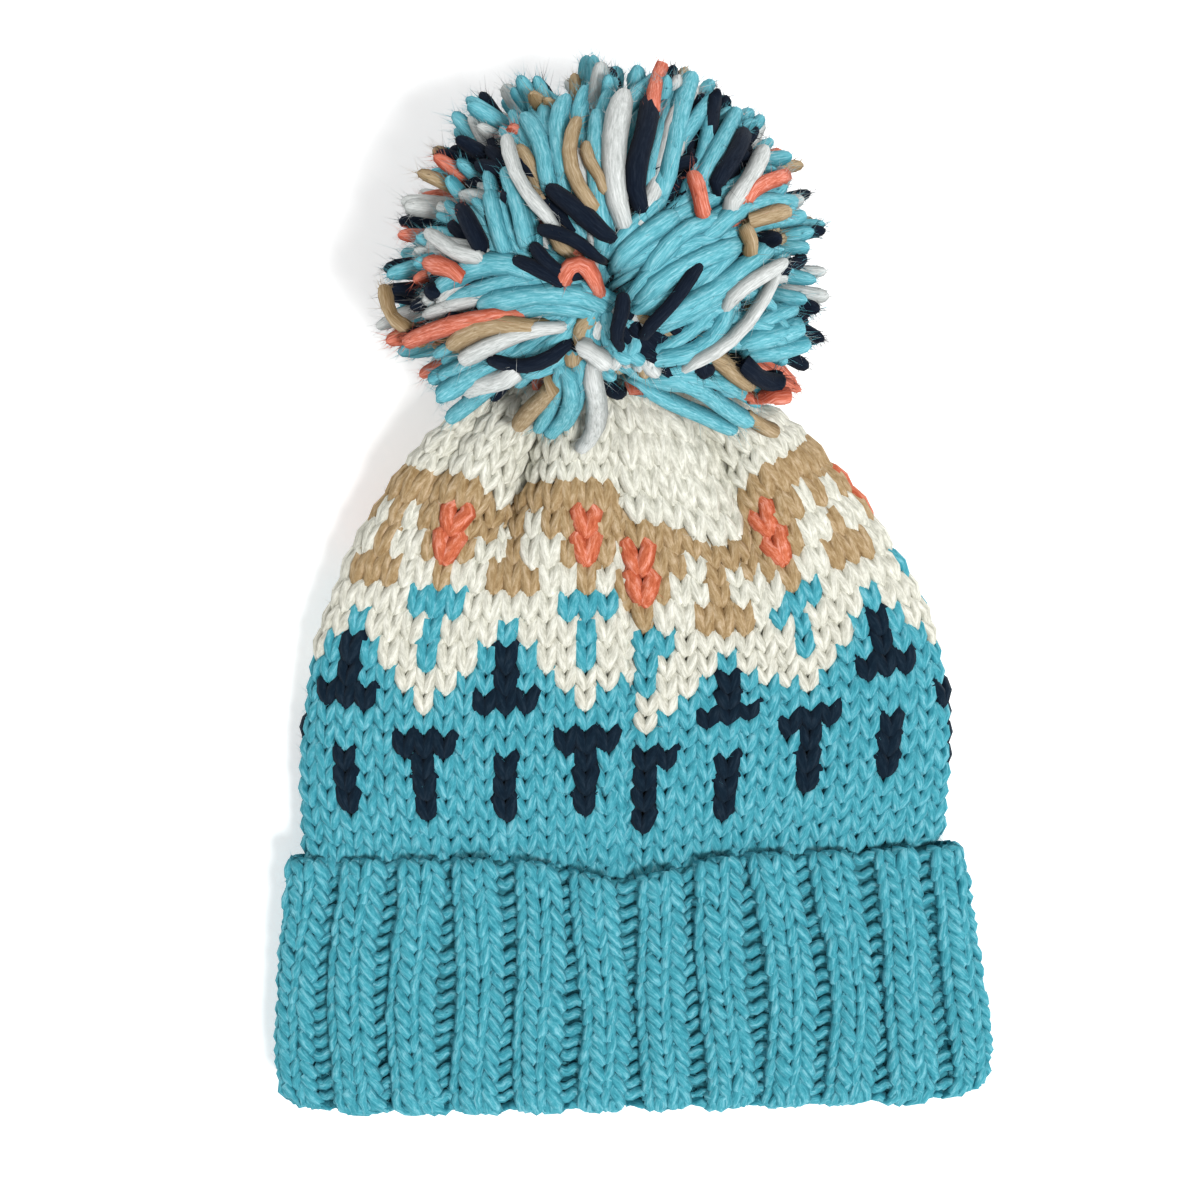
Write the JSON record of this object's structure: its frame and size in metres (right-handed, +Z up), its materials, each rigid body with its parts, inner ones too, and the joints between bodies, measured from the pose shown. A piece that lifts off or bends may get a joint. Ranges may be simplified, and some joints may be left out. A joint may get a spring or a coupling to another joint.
{
  "type": "knit toque",
  "caption": "Knit toque lying flat: a gathered stockinette body with a folk pattern, a turned-up ribbed cuff and a yarn pompom at the crown.",
  "frame": {"origin": "on the surface it lies on, under the middle of its box", "axes": "+Y runs from the cuff's fold to the pompom, +X across the toque, +Z up from the surface"},
  "size_m": [0.235, 0.335, 0.1119],
  "materials": {
    "body_knit": "soft chunky acrylic yarn in blue, off-white, tan, navy and coral",
    "cuff_rib": "soft chunky acrylic yarn, pale blue",
    "pompom_yarn": "soft loosely spun acrylic yarn, cut ends",
    "tie_yarn": "tightly wound yarn"
  },
  "bodies": {
    "root": {"knit_body": "body_knit", "ribbed_cuff": "cuff_rib", "pompom": "pompom_yarn", "pompom_tie": "tie_yarn"}
  },
  "joints": []
}
